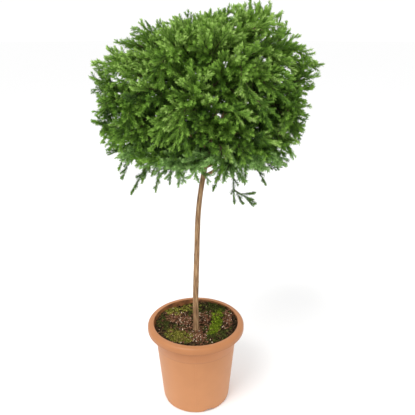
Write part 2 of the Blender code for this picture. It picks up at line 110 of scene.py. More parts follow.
# Soil: its top, and where it is heaped or sunk at the wall, as angle, extra height, half-width
SOIL_LEVEL = 0.206
SOIL_EDGE_RISE = 0.018
SOIL_TOP = 0.2295
SOIL_BUMP = 0.0016
SOIL_FLAT_RADIUS = 0.014
SOIL_LOBES = (
    (40, 0.008, 40),
    (122, -0.006, 30),
)
SOIL_RINGS = 80
SOIL_SIDES = 260
SOIL_GRAIN = 0.0010
SOIL_CALM_RADIUS = 0.02
SOIL_AXIS_GAP = 0.0005
SOIL_SKIRT = 0.15
SOIL_WALL_GAP = 0.0004
CLOD_WAVES = 9
CLOD_HEIGHT = 0.0006
SOIL_SHADES = ((0.36, (0.006, 0.004, 0.002)), (0.50, (0.026, 0.015, 0.006)), (0.68, (0.11, 0.066, 0.03)))

# Litter on the soil: how a patch thins out at its edge, as shares of its half-widths squared, how
# far it stays from the trunk and the wall, and the crumbs
PATCH_EDGE = (0.1, 1.5)
TRUNK_CLEAR = 0.013
WALL_CLEAR = 0.002
CRUMB_COUNT = 3200
CRUMB_SPREAD = 0.085
CRUMB_SIZE = 0.0007
CRUMB_SIZE_RANGE = 0.0018

# Moss patches: place, half-widths, cushions and tone, and each tone's colours and shoots' height
MOSS_PATCHES = (
    (0.060, 0.030, 0.014, 0.034, 44, "bright"),
    (0.050, -0.012, 0.014, 0.030, 40, "bright"),
    (0.044, -0.034, 0.012, 0.014, 12, "bright"),
    (0.062, 0.082, 0.040, 0.024, 70, "dark"),
    (-0.040, -0.054, 0.034, 0.030, 90, "olive"),
    (-0.068, -0.034, 0.018, 0.018, 22, "olive"),
    (-0.088, 0.012, 0.020, 0.036, 40, "dark"),
    (-0.070, 0.072, 0.030, 0.018, 34, "olive"),
    (-0.020, 0.088, 0.034, 0.018, 26, "olive"),
    (0.062, -0.056, 0.034, 0.028, 40, "dark"),
    (0.010, 0.070, 0.040, 0.034, 40, "dark"),
    (0.000, 0.000, 0.100, 0.100, 90, "dark"),
)
MOSS_TONES = {
    "dark": ((0.018, 0.020, 0.005), (0.050, 0.060, 0.012), (0.150, 0.160, 0.040), 0.0028),
    "olive": ((0.060, 0.055, 0.010), (0.210, 0.200, 0.030), (0.480, 0.460, 0.100), 0.0030),
    "bright": ((0.045, 0.065, 0.005), (0.170, 0.260, 0.014), (0.430, 0.540, 0.050), 0.0042),
}
MOSS_SHOOTS = 22
MOSS_SHOOT_SPREAD = 0.0030
MOSS_SHOOT_WIDTH = 0.0010
MOSS_SHOOT_CLEAR = 0.0010
MOSS_SHOOT_LIFT = 0.0010
CUSHION_SIDES = 9
CUSHION_SIZES = (0.0026, 0.0055)
CUSHION_HEIGHT = 0.40

# Bark chips: colours, sizes, and the place, half-widths and count of each patch
CHIP_SHADES = ((0.36, (0.045, 0.018, 0.009)), (0.50, (0.15, 0.062, 0.032)), (0.66, (0.3, 0.15, 0.085)))
PALE_SHADES = ((0.36, (0.33, 0.19, 0.11)), (0.50, (0.56, 0.40, 0.27)), (0.66, (0.80, 0.68, 0.54)))
PALE_SHARE = 0.30
PALE_SIZE = 0.62
CHIP_SIZE = 0.0018
CHIP_SIZE_RANGE = 0.0034
CHIP_THICKNESS = 0.0008
CHIP_THICKNESS_RANGE = 0.0009
CHIP_LIFT = 0.0012
CHIP_TILT = 0.35
CHIP_PATCHES = (
    (-0.050, 0.040, 0.038, 0.028, 170),
    (0.024, 0.044, 0.026, 0.024, 90),
    (0.006, -0.046, 0.026, 0.034, 130),
    (-0.010, 0.004, 0.034, 0.034, 60),
    (0.088, 0.020, 0.014, 0.044, 70),
    (0.0, 0.0, 0.100, 0.100, 170),
)

# Trunk and boughs
TRUNK_FOOT_X = 0.0014
TRUNK_TOP = 0.800
TRUNK_BEND_HEIGHT = 0.37
TRUNK_BEND = 0.27
TRUNK_WAVE = 0.0016
TRUNK_WAVES_ACROSS = 21
TRUNK_WAVES_DEEP = 13
TRUNK_FOOT_RADIUS = 0.0078
TRUNK_TOP_RADIUS = 0.0056
TRUNK_FLARE = 0.0026
TRUNK_FLARE_HEIGHT = 0.010
TRUNK_SINK = 0.003
TRUNK_SIDES = 60
TRUNK_RINGS = 330
BARK_RELIEF = 0.00055
BARK_SHADES = (
    (0.30, (0.085, 0.045, 0.022)),
    (0.46, (0.245, 0.135, 0.066)),
    (0.58, (0.400, 0.245, 0.125)),
    (0.74, (0.560, 0.390, 0.225)),
)

# Knots on the trunk: height, side as an angle and size, and their width and length
KNOTS = (
    (0.285, 2.4, 0.0011),
    (0.352, 4.4, 0.0009),
    (0.431, 0.6, 0.0012),
    (0.507, 3.6, 0.0010),
    (0.563, 5.3, 0.0012),
    (0.614, 1.7, 0.0009),
)
KNOT_WIDTH = 0.0026
KNOT_LENGTH = 0.0034

# Rings of masses round one hub: name, count, first azimuth, elevation, lowest and highest start
# of a bough on the trunk, and how far out and how high the boughs end
HUB_HEIGHT = 0.755
RINGS = (
    ("lower", 5, -54, -32, 0.646, 0.690, 0.074, 0.706),
    ("middle", 5, -90, 7, 0.700, 0.734, 0.080, 0.768),
    ("upper", 4, -60, 42, 0.744, 0.776, 0.060, 0.817),
)
TOP_AXIS = (10, 84)
BOUGH_ROOT_RADIUS = 0.0040
BOUGH_TIP_RADIUS = 0.0028
BOUGH_SIDES = 16
BOUGH_RINGS = 30
BOUGH_RELIEF = 0.00025
BOUGH_SAG = 0.35

# Outline of the crown: its middle, its reach to each side, up and down, and its lobes as
# azimuth, elevation, extra reach and half-width in degrees
CROWN_MIDDLE = Vector((0.030, 0.0, 0.790))
CROWN_SIDE = 0.247
CROWN_TOP = 0.238
CROWN_BOTTOM = 0.140
CROWN_SQUARENESS = 2.6
LOBES = (
    (0, 24, 0.036, 12),
    (0, 60, 0.034, 20),
    (180, 30, 0.026, 15),
    (180, 62, -0.014, 16),
    (180, 44, -0.022, 7),
    (180, -4, 0.014, 18),
    (180, 12, 0.014, 24),
    (180, -44, 0.036, 16),
    (0, 2, -0.012, 12),
    (0, -24, -0.026, 18),
    (-40, -52, 0.016, 14),
    (-100, 20, 0.014, 22),
    (-75, -30, 0.018, 16),
    (-130, 50, -0.012, 20),
    (80, 35, 0.020, 20),
    (120, -10, 0.016, 22),
    (95, -42, 0.030, 16),
    (50, 5, -0.014, 18),
)

# Furthest tips that show in the photograph: the crown's edge from the right over the top to the
# left, the strands that hang at the left, the forked one, the low front and the lower right
EDGE_TIPS = (
    (0.290, -0.010, 0.912), (0.268, 0.020, 0.884), (0.248, 0.015, 0.950), (0.230, -0.020, 0.975),
    (0.208, -0.005, 1.000), (0.187, 0.020, 1.012), (0.162, 0.005, 1.034), (0.145, 0.025, 1.040),
    (0.126, -0.010, 1.045), (0.104, 0.015, 1.038), (0.084, -0.015, 1.034), (0.062, 0.010, 1.022),
    (0.036, -0.010, 1.020), (0.012, 0.010, 1.016), (-0.080, 0.000, 1.004), (-0.102, 0.020, 0.996),
    (-0.120, 0.000, 1.000), (-0.136, 0.020, 0.990), (-0.192, -0.010, 0.945), (-0.231, 0.010, 0.908),
    (-0.236, -0.010, 0.884), (-0.216, -0.040, 0.880), (-0.214, 0.036, 0.868), (-0.200, -0.010, 0.900),
    (-0.233, -0.010, 0.855), (-0.239, -0.010, 0.785), (-0.222, 0.020, 0.745), (-0.207, 0.000, 0.700),
)
LEFT_STRAND_TIPS = (
    (-0.184, -0.010, 0.664), (-0.182, 0.020, 0.632), (-0.156, -0.010, 0.602), (-0.136, 0.040, 0.616),
    (-0.095, -0.020, 0.612), (-0.064, 0.030, 0.617), (-0.038, -0.040, 0.632), (0.046, -0.040, 0.622),
)
FORK_TIPS = ((0.096, -0.050, 0.594), (0.141, -0.050, 0.602))
FRONT_TIPS = (
    (0.052, -0.060, 0.650), (0.046, -0.105, 0.686), (0.062, -0.095, 0.690), (0.010, -0.060, 0.650),
    (0.024, -0.110, 0.690), (0.038, -0.100, 0.662), (0.084, -0.090, 0.704), (-0.004, -0.095, 0.684),
    (-0.040, -0.100, 0.676), (-0.080, -0.090, 0.668),
)
RIGHT_TIPS = (
    (0.127, 0.030, 0.617), (0.176, 0.000, 0.625), (0.207, 0.000, 0.662), (0.225, -0.015, 0.692),
)
FAR_TIPS = EDGE_TIPS + LEFT_STRAND_TIPS + FORK_TIPS + FRONT_TIPS + RIGHT_TIPS
FAR_TIP_SPACE = 0.016
FORK_SHARE = 0.66
FORK_TURN = 0.3
FORK_FULLNESS = 0.85

# Layers of tips, as count and depth in the crown, and rows that close a gap at the front's top, as
# elevation and depth
TIP_LAYERS = ((700, 1.0), (460, 0.86), (250, 0.70), (110, 0.54), (60, 0.38))
TIP_JITTER = 0.05
LOWEST_TIP = -0.90
FILL_AZIMUTHS = range(-115, -14, 11)
FILL_ROWS = ((57, 0.93), (61, 0.84), (61, 0.68), (66, 0.93))

# Underside, where few tips are kept: its height, and how it rises to the front and the left
UNDERSIDE_HEIGHT = 0.660
UNDERSIDE_SLOPE = -0.28
UNDERSIDE_LEFT = 0.07
UNDERSIDE_SHARE = 0.15

# Clumps that the crown swells in, with dents between them
CLUMP_COUNT = 70
CLUMP_TURN = 0.6
CLUMP_WIDTH = 0.022
CLUMP_DENT = 0.11

# Hanging strands at the crown's underside: the height they hang below, their side shoots and
# needles, and the place and height of their bend
STRAND_HEIGHT = 0.665
STRAND_HEIGHT_RANGE = 0.02
STRAND_SIDE_SPACING = 0.018
STRAND_SIDES = 0.50
STRAND_TILT = math.radians(52)
STRAND_NEEDLES = 1.35
STRAND_REACH = 0.62
STRAND_ARCH = 0.11
STRAND_DROP = -0.15

# Tone of a spray, painted light and shade: its value outside at mid-height, how it lightens with
# height and darkens with depth, its spread, and the low front with its own paler, bluer painted light
TONE_MIDDLE = 1.7
TONE_LEVEL = 0.80
TONE_SPAN = 0.24
TONE_RISE = 1.1
TONE_INSIDE = 4.5
TONE_SPREAD = 0.65
LOW_FRONT_HEIGHT = 0.725
LOW_FRONT_PLACE = -0.04
LOW_FRONT_RANGE = 0.04
OUTER_DEPTH = 0.8

# Sprays: the shoot that leads to a tip, its side shoots and their short twiglets
SPRAY_LENGTH = 0.105
STEM_ROOT_RADIUS = 0.0028
TWIG_RADIUS = 0.0016
SHOOT_RADIUS = 0.0011
BROWN_END = 0.35
GREEN_START = 0.30
SHORTEST_SHOOT = 0.065
LEAST_BARE = 0.10
BRANCH_ANGLE = math.radians(50)
BEND_COST = 2.2
SHORT_COST = 2
ROOT_STEPS = 8
ROOT_SHARE = 0.45
ROOT_TURN = 0.35
BEND_SHARE = 0.45
BOUGH_OVERLAP = 0.004
TOP_OVERLAP = 0.01
SIDE_SPACING = 0.0105
SIDE_LENGTH = 0.052
SIDE_ANGLE = math.radians(41)
SIDE_FAN = 1.25
SIDE_LIFT = 0.30
TWIGLET_LENGTH = 0.015
TWIGLET_FROM = 0.030
TWIGLET_PLACES = ((0.34, 0.0), (0.58, math.pi))
REACH_MARGIN = 0.004

# Needles, and the tones that are dealt out by spray: one for the spray and one for shoot ends, a step
# lighter for their young growth
NEEDLE_SPACING = 0.00078
NEEDLE_LENGTH = 0.0095
NEEDLE_WIDTH = 0.0025
NEEDLE_TILT = math.radians(42)
NEEDLE_SHOULDER = 0.45
NEEDLE_FOLD = 0.35
TIP_SHARE = 0.70
# Needle colours: one green painted from deep shade up to bright light, and a paler, bluer painted light
# for the low front
NEEDLE_COLOURS = {
    "deep": (0.035, 0.085, 0.010),
    "shade": (0.075, 0.165, 0.017),
    "mid": (0.130, 0.260, 0.028),
    "lit_and_young": (0.210, 0.370, 0.055),
    "bright": (0.330, 0.500, 0.120),
    "low": (0.190, 0.350, 0.085),
    "low_end": (0.300, 0.480, 0.150),
}
SPRAY_TONES = (
    ("deep", "shade"),
    ("shade", "mid"),
    ("mid", "lit_and_young"),
    ("lit_and_young", "bright"),
    ("low", "low_end"),
)
SEED = 7
CROWN_SEED = 9

# Camera of the photograph
CAMERA_PLACE = (0.032, -1.186, 0.991)
CAMERA_PITCH = math.radians(90 - 19.84)
CAMERA_LENS = 43.37

# Studio
FLOOR_RADIUS = 40.0
FLOOR_SIDES = 64
SKY_STRENGTH = 1.04
KEY_PLACE = (-0.9, -1.4, 3.0)
KEY_TARGET = (0.03, 0.0, 0.7)
KEY_SIZE = 1.6
KEY_POWER = 60


# Meshes from arrays

def add_piece(name, points, faces, material, stands_for=(), smooth=True):
    """A piece on the frame, from an array of points and an array of equal-sided faces."""
    faces = np.asarray(faces, dtype=np.int32)
    mesh = bpy.data.meshes.new(name)
    mesh.vertices.add(len(points))
    mesh.vertices.foreach_set("co", np.asarray(points, dtype=np.float32).ravel())
    mesh.loops.add(faces.size)
    mesh.loops.foreach_set("vertex_index", faces.ravel())
    mesh.polygons.add(len(faces))
    mesh.polygons.foreach_set("loop_start", np.arange(0, faces.size, faces.shape[1], dtype=np.int32))
    mesh.polygons.foreach_set("use_smooth", np.full(len(faces), smooth))
    mesh.update(calc_edges=True)
    mesh.materials.append(material)
    piece = bpy.data.objects.new(name, mesh)
    bpy.context.scene.collection.objects.link(piece)
    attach(piece, "root")
    if stands_for:
        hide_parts(*stands_for)
    return piece


def grid_faces(rows, columns):
    """Quads between neighbouring rows of points, closed round each row."""
    row = np.arange(rows - 1)[:, None] * columns
    column = np.arange(columns)[None, :]
    after = (column + 1) % columns
    quads = np.stack((row + column, row + after, row + columns + after, row + columns + column), axis=-1)
    return quads.reshape(-1, 4)


def repeated(faces, count, points):
    """Faces of one shape, repeated for a count of shapes that have equally many points."""
    faces = np.asarray(faces)
    moved = faces[None] + (np.arange(count) * points)[:, None, None]
    return moved.reshape(-1, faces.shape[1])


def round_angles(count):
    """Angles spread evenly round a circle."""
    return np.arange(count) * TWO_PI / count


def turn_from(angle, middle):
    """Angle from a middle one, between minus and plus half a turn."""
    return np.mod(angle - middle + math.pi, TWO_PI) - math.pi


def unit(vectors):
    return vectors / np.linalg.norm(vectors, axis=-1, keepdims=True)


def square_to(along):
    """Two unit vectors square to each direction and to each other."""
    across = unit(np.cross(along, REFERENCE))
    return across, np.cross(along, across)


def tubes(paths, radii, sides):
    """Points and quads of tubes along paths of equally many points.

    Each point of a path has one radius, or one for each side where the tube has a relief.
    """
    count, steps = radii.shape[:2]
    across, up = square_to(unit(np.gradient(paths, axis=1)))
    angles = round_angles(sides)
    spokes = across[:, :, None] * np.cos(angles)[:, None] + up[:, :, None] * np.sin(angles)[:, None]
    points = paths[:, :, None] + spokes * radii.reshape(count, steps, -1, 1)
    return points.reshape(-1, 3), repeated(grid_faces(steps, sides), count, steps * sides)


# Materials

class Look:
    """A material being made: its tree of nodes and its shader."""

    def __init__(self, name, colour, roughness, specular):
        self.material = bpy.data.materials.new(name)
        self.material.use_nodes = True
        self.tree = self.material.node_tree
        self.shader = self.tree.nodes["Principled BSDF"]
        values = {"Base Color": (*colour, 1.0), "Roughness": roughness, "Specular IOR Level": specular}
        self.fill(self.shader, values)

    def fill(self, node, inputs):
        """Set each input that has a value, and link each that has another node's output."""
        for name, value in inputs.items():
            if isinstance(value, bpy.types.NodeSocket):
                self.tree.links.new(value, node.inputs[name])
            else:
                node.inputs[name].default_value = value
        return node

    def add(self, kind, inputs):
        return self.fill(self.tree.nodes.new("ShaderNode" + kind), inputs)

    def place(self, scale=(1.0, 1.0, 1.0)):
        """Object coordinates, squeezed or stretched along each axis."""
        place = self.add("TexCoord", {}).outputs["Object"]
        return self.add("Mapping", {"Scale": scale, "Vector": place}).outputs["Vector"]

    def noise(self, place, scale, detail=3.0):
        return self.add("TexNoise", {"Scale": scale, "Detail": detail, "Vector": place}).outputs["Fac"]

    def ramp(self, factor, stops):
        """Colours along a factor, as position and colour."""
        node = self.add("ValToRGB", {"Fac": factor})
        elements = node.color_ramp.elements
        for element, (position, colour) in zip(elements, (stops[0], stops[-1])):
            element.position = position
            element.color = (*colour, 1.0)
        for position, colour in stops[1:-1]:
            elements.new(position).color = (*colour, 1.0)
        return node.outputs["Color"]

    def scaled(self, value, low, high):
        """A value as a share of the way from low to high."""
        inputs = {"From Min": low, "From Max": high, "Value": value}
        return self.add("MapRange", inputs).outputs["Result"]

    def vectors(self, operation, first, second):
        """A node that works out a result from two vectors."""
        node = self.add("VectorMath", {})
        node.operation = operation
        return self.fill(node, {0: first, 1: second})

    def mix(self, blend, factor, first, second):
        """Two colours blended by a factor."""
        node = self.add("Mix", {})
        node.data_type = "RGBA"
        node.blend_type = blend
        return self.fill(node, {"Factor": factor, "A": first, "B": second}).outputs["Result"]

    def colour(self, source):
        self.fill(self.shader, {"Base Color": source})

    def bump(self, height, strength, distance):
        inputs = {"Strength": strength, "Distance": distance, "Height": height}
        self.fill(self.shader, {"Normal": self.add("Bump", inputs).outputs["Normal"]})


def plastic_material():
    """Moulded terracotta plastic: darker towards the rim, with painted shade under the rim and at the
    band's step, dirt and painted shade inside, and a fine satin grain.
    """
    look = Look("pot_plastic", (0.50, 0.21, 0.08), 0.46, 0.4)
    place = look.place()
    split = look.add("SeparateXYZ", {"Vector": place})
    # colour up the outside, with painted shade under the rim and at the band's step
    height = look.ramp(look.scaled(split.outputs["Z"], 0.0, POT_HEIGHT), POT_COLOURS_AND_PAINTED_SHADE)
    cloud = look.ramp(look.noise(place, 22.0, 5.0), POT_CLOUD)
    outside = look.mix("MULTIPLY", 1.0, height, cloud)
    # inside the pot, where the wall faces inwards: a dark mottle of dirt and painted shade
    inner_dirt_and_shade = look.ramp(look.noise(place, 60.0, 6.0), POT_DIRT_AND_PAINTED_SHADE)
    inward = look.scaled(facing_out(look, place), -0.02, -0.08)
    look.colour(look.mix("MIX", inward, outside, inner_dirt_and_shade))
    look.bump(look.noise(place, 1400.0), 0.12, 0.0002)
    return look.material


def facing_out(look, place):
    """How far a surface faces away from the pot's axis, negative where it faces inwards."""
    level = look.vectors("MULTIPLY", place, (1.0, 1.0, 0.0)).outputs["Vector"]
    normal = look.add("NewGeometry", {}).outputs["Normal"]
    return look.vectors("DOT_PRODUCT", level, normal).outputs["Value"]


def speckled_material(name, stops, scale, roughness, relief=0.0):
    """A rough surface whose colour and relief change from grain to grain."""
    look = Look(name, stops[1][1], roughness, 0.1)
    grain = look.noise(look.place(), scale, 6.0)
    look.colour(look.ramp(grain, stops))
    if relief:
        look.bump(grain, 0.8, relief)
    return look.material


def bark_material():
    """Cinnamon-brown bark in long fibres, with paler and darker strips."""
    look = Look("bark", (0.30, 0.17, 0.09), 0.8, 0.25)
    look.colour(look.ramp(look.noise(look.place((1.0, 1.0, 0.07)), 420.0, 6.0), BARK_SHADES))
    look.bump(look.noise(look.place((1.0, 1.0, 0.04)), 1100.0, 4.0), 0.5, 0.0006)
    return look.material


def plain_material(name, colour, roughness, specular=0.35):
    return Look(name, colour, roughness, specular).material


# Pot

def arc(middle, radius, first, last, steps):
    """Points of an arc in the profile's plane."""
    angles = np.linspace(first, last, steps + 1)
    return [(middle[0] + radius * math.cos(a), middle[1] + radius * math.sin(a)) for a in angles]


def pot_outside(z):
    """Outer radius of the tapered wall at a height up to the neck."""
    return FOOT_RADIUS + (NECK_RADIUS - FOOT_RADIUS) * z / NECK_HEIGHT


def pot_inside(z):
    """Inner radius of the wall at a height."""
    neck = NECK_RADIUS - POT_WALL
    share = (z - NECK_HEIGHT) / (POT_HEIGHT - POT_WALL / 2 - NECK_HEIGHT)
    return np.where(z > NECK_HEIGHT, neck + (MOUTH_RADIUS - neck) * share, pot_outside(z) - POT_WALL)


def pot_outer_profile():
    """Section of the wall's outside: over the rim and its hollow underside, down to the foot."""
    quarter = math.pi / 2
    lip = (RIM_RADIUS - POT_WALL / 2, POT_HEIGHT - RIM_DROP + POT_WALL / 2)
    turn = (RIM_RADIUS - RIM_ROUND, POT_HEIGHT - RIM_ROUND)
    points = arc(turn, RIM_ROUND, quarter, 0, 12)
    points += arc(lip, POT_WALL / 2, 0, -math.pi, 8)
    points += arc(turn, RIM_ROUND - POT_WALL, 0, quarter, 6)
    points += [(MOUTH_RADIUS + POT_WALL, POT_HEIGHT - POT_WALL)]
    points += [(pot_outside(z) + BAND_STEP, z) for z in (NECK_HEIGHT, BAND_HEIGHT + BAND_STEP)]
    points += [(pot_outside(BAND_HEIGHT) + BAND_STEP * 0.7, BAND_HEIGHT + BAND_STEP * 0.2)]
    levels = [BAND_HEIGHT - BAND_STEP, BAND_HEIGHT - 2 * BAND_STEP]
    levels += [BAND_HEIGHT * (1 - i / WALL_STEPS) for i in range(1, WALL_STEPS)]
    points += [(pot_outside(z), z) for z in levels]
    points += arc((FOOT_RADIUS - FOOT_ROUND, FOOT_ROUND), FOOT_ROUND, 0, -quarter, 8)
    return points


def pot_inner_profile():
    """Section across the underside and up the inside to the mouth."""
    points = [(AXIS_GAP, 0.0), (AXIS_GAP, POT_FLOOR)]
    points += [(float(pot_inside(z)), z) for z in (POT_FLOOR, NECK_HEIGHT)]
    turn = (MOUTH_RADIUS + MOUTH_ROUND, POT_HEIGHT - MOUTH_ROUND)
    points += arc(turn, MOUTH_ROUND, math.pi, math.pi / 2, 4)
    return points


def pot_angles():
    """Angles round the pot, closer together at the two mould seams."""
    shares = (-0.75, -0.5, -0.25, 0.25, 0.5, 0.75)
    extra = [seam + SEAM_WIDTH * share for seam in SEAM_ANGLES for share in shares]
    angles = np.concatenate((round_angles(POT_SIDES), extra))
    return np.unique(np.round(np.mod(angles, TWO_PI), 6))


def make_pot(material):
    """The pot's wall, turned round its axis from one closed section, with its seams and notches."""
    outer = pot_outer_profile()
    profile = np.array(outer + pot_inner_profile())
    angles = pot_angles()
    seam = sum(np.exp(-(turn_from(angles, middle) / SEAM_WIDTH * 3) ** 2) for middle in SEAM_ANGLES)
    outside = (np.arange(len(profile)) < len(outer) - 4)[:, None]
    radius = profile[:, :1] + SEAM_HEIGHT * seam * outside
    points = np.stack((radius * np.cos(angles), radius * np.sin(angles),
                       np.repeat(profile[:, 1:], len(angles), axis=1)), axis=-1)
    points = np.concatenate((points, points[:1]))
    faces = grid_faces(len(profile) + 1, len(angles))[:, ::-1]
    pot = add_piece("pot_wall", points.reshape(-1, 3), faces, material, ["pot"])
    weld = pot.modifiers.new("Weld", "WELD")
    weld.merge_threshold = WELD_GAP
    for i in range(NOTCH_COUNT):
        cut_notch(pot, NOTCH_FIRST_ANGLE + i * TWO_PI / NOTCH_COUNT)
    pot.data.shade_smooth()
    pot.data.set_sharp_from_angle(angle=SHARP_EDGE)


def cut_notch(pot, angle):
    """Cut one arched drainage notch out of the foot's edge with an oval bar."""
    turns = round_angles(NOTCH_SIDES)
    oval = np.stack((np.cos(turns) * NOTCH_WIDTH / 2, np.sin(turns) * NOTCH_HEIGHT), axis=-1)
    corners = [(x, y, z) for x in (-NOTCH_DEPTH, NOTCH_DEPTH) for y, z in oval.tolist()]
    sides = grid_faces(2, NOTCH_SIDES)[:, ::-1].tolist()
    ends = [list(range(NOTCH_SIDES))[::-1], list(range(NOTCH_SIDES, 2 * NOTCH_SIDES))]
    mesh = bpy.data.meshes.new("notch")
    mesh.from_pydata(corners, [], sides + ends)
    cutter = bpy.data.objects.new("notch", mesh)
    cutter.location = (FOOT_RADIUS * math.cos(angle), FOOT_RADIUS * math.sin(angle), -NOTCH_SINK)
    cutter.rotation_euler = (0.0, 0.0, angle)
    bpy.context.scene.collection.objects.link(cutter)
    bpy.context.view_layer.update()
    cut = pot.modifiers.new("Notch", "BOOLEAN")
    cut.operation = "DIFFERENCE"
    cut.solver = "EXACT"
    cut.object = cutter
    graph = bpy.context.evaluated_depsgraph_get()
    pot.data = bpy.data.meshes.new_from_object(pot.evaluated_get(graph))
    pot.modifiers.clear()
    bpy.data.objects.remove(cutter, do_unlink=True)


# Soil

def soil_height(x, y):
    """Height of the soil, flat where the trunk stands on it and higher towards the wall."""
    radius = np.hypot(x, y)
    angle = np.arctan2(y, x)
    rise = np.maximum(0.0, radius - SOIL_FLAT_RADIUS) / (NECK_RADIUS - SOIL_FLAT_RADIUS)
    bumps = np.sin(3 * angle + 70 * radius) + np.sin(5 * angle - 110 * radius + 1)
    height = SOIL_LEVEL + SOIL_EDGE_RISE * rise + SOIL_BUMP * bumps * np.minimum(1.0, 3 * rise)
    for middle, extra, width in SOIL_LOBES:
        apart = turn_from(angle, math.radians(middle))
        height = height + extra * np.exp(-(apart / math.radians(width)) ** 2) * rise ** 1.5
    return np.minimum(height, SOIL_TOP)


def make_soil(material, rng):
    """Bumpy top of the soil, out to the pot's wall, with a skirt that goes down inside it."""
    angles = round_angles(SOIL_SIDES)
    radii = np.linspace(SOIL_AXIS_GAP, NECK_RADIUS, SOIL_RINGS)[:, None]
    x = radii * np.cos(angles)
    y = radii * np.sin(angles)
    clods = sum(np.sin(x * rng.uniform(200, 900) + y * rng.uniform(-900, 900) + rng.uniform(0, TWO_PI))
                for _ in range(CLOD_WAVES)) / CLOD_WAVES ** 0.5
    calm = np.minimum(1.0, radii / SOIL_CALM_RADIUS)
    z = soil_height(x, y) + (CLOD_HEIGHT * clods + rng.normal(0.0, SOIL_GRAIN, x.shape)) * calm
    wall = pot_inside(z) - SOIL_WALL_GAP
    spread = 1 + (wall[-1] / NECK_RADIUS - 1) * (radii / NECK_RADIUS) ** 4
    points = np.stack((x * spread, y * spread, z), axis=-1)
    skirt = points[-1].copy()
    reach = np.linalg.norm(skirt[:, :2], axis=1, keepdims=True)
    skirt[:, :2] *= (pot_inside(SOIL_SKIRT) - SOIL_WALL_GAP) / reach
    skirt[:, 2] = SOIL_SKIRT
    points = np.concatenate((points, skirt[None]))
    faces = grid_faces(SOIL_RINGS + 1, SOIL_SIDES)
    add_piece("soil_top", points.reshape(-1, 3), faces, material, ["soil"])


def spots(patch, count, rng):
    """Places on the soil, scattered over an oval patch and kept off the trunk and the wall."""
    x0, y0, across, deep = patch[:4]
    found = []
    while len(found) < count:
        x = x0 + across * rng.uniform(-1, 1)
        y = y0 + deep * rng.uniform(-1, 1)
        inside = ((x - x0) / across) ** 2 + ((y - y0) / deep) ** 2 < rng.uniform(*PATCH_EDGE)
        if inside and TRUNK_CLEAR < math.hypot(x, y) < NECK_RADIUS - WALL_CLEAR:
            found.append((x, y))
    places = np.array(found)
    return np.column_stack((places, soil_height(places[:, 0], places[:, 1])))


def turned(points, rng):
    """Each set of points turned its own way at random."""
    axes = unit(rng.normal(size=(len(points), 3)))
    angles = rng.random(len(points)) * TWO_PI
    return spin(points, axes, angles)


def spin(points, axes, angles):
    """Sets of points turned about an axis of their own."""
    cos = np.cos(angles)[:, None, None]
    sin = np.sin(angles)[:, None, None]
    axes = axes[:, None, :]
    along = (points * axes).sum(axis=-1, keepdims=True)
    return points * cos + np.cross(axes, points) * sin + axes * along * (1 - cos)


def make_crumbs(material, rng):
    """Crumbs of soil: eight-sided lumps of many sizes."""
    corners = np.array([(1, 0, 0), (0, 1, 0), (-1, 0, 0), (0, -1, 0), (0, 0, 1), (0, 0, -1)])
    upper = [(i, (i + 1) % 4, 4) for i in range(4)]
    lower = [((i + 1) % 4, i, 5) for i in range(4)]
    places = spots((0, 0, CRUMB_SPREAD, CRUMB_SPREAD), CRUMB_COUNT, rng)
    sizes = CRUMB_SIZE + CRUMB_SIZE_RANGE * rng.random((CRUMB_COUNT, 1, 1)) ** 2
    lumps = corners[None] * (0.7 + 0.6 * rng.random((CRUMB_COUNT, 6, 1))) * sizes
    points = turned(lumps, rng) + places[:, None]
    faces = repeated(upper + lower, CRUMB_COUNT, 6)
    add_piece("soil_crumbs", points.reshape(-1, 3), faces, material, smooth=False)


def make_chips(name, share, size, material, rng):
    """Flat bark chips with slanted ends, lying on the soil."""
    outline = np.array([(-1, -0.5), (-0.2, -0.62), (0.8, -0.45), (1, 0.1), (0.5, 0.55), (-0.7, 0.5)])
    sets = [spots(patch, max(1, int(patch[4] * share)), rng) for patch in CHIP_PATCHES]
    places = np.concatenate(sets)
    count = len(places)
    rim = outline[None] * (0.8 + 0.4 * rng.random((count, 6, 1)))
    long = CHIP_SIZE + CHIP_SIZE_RANGE * rng.random((count, 1, 1)) ** 1.5
    rim = rim * size * long * np.array((1.0, 0.7))
    thick = CHIP_THICKNESS + CHIP_THICKNESS_RANGE * rng.random((count, 1, 1))
    low = np.concatenate((rim, np.broadcast_to(-thick, (count, 6, 1))), axis=2)
    high = np.concatenate((rim * 0.93, np.broadcast_to(thick, (count, 6, 1))), axis=2)
    solid = np.concatenate((low, high), axis=1)
    upright = np.tile((0.0, 0.0, 1.0), (count, 1))
    solid = spin(solid, upright, rng.random(count) * TWO_PI)
    tilt_axes = unit(np.column_stack((rng.normal(size=(count, 2)), np.zeros(count))))
    solid = spin(solid, tilt_axes, rng.normal(0.0, CHIP_TILT, count))
    points = solid + places[:, None] + np.array((0.0, 0.0, CHIP_LIFT))
    sides = [(i, (i + 1) % 6, 6 + (i + 1) % 6, 6 + i) for i in range(6)]
    caps = [(6, 7, 8, 9), (6, 9, 10, 11), (3, 2, 1, 0), (5, 4, 3, 0)]
    faces = repeated(sides + caps, count, 12)
    add_piece(name, points.reshape(-1, 3), faces, material, smooth=False)


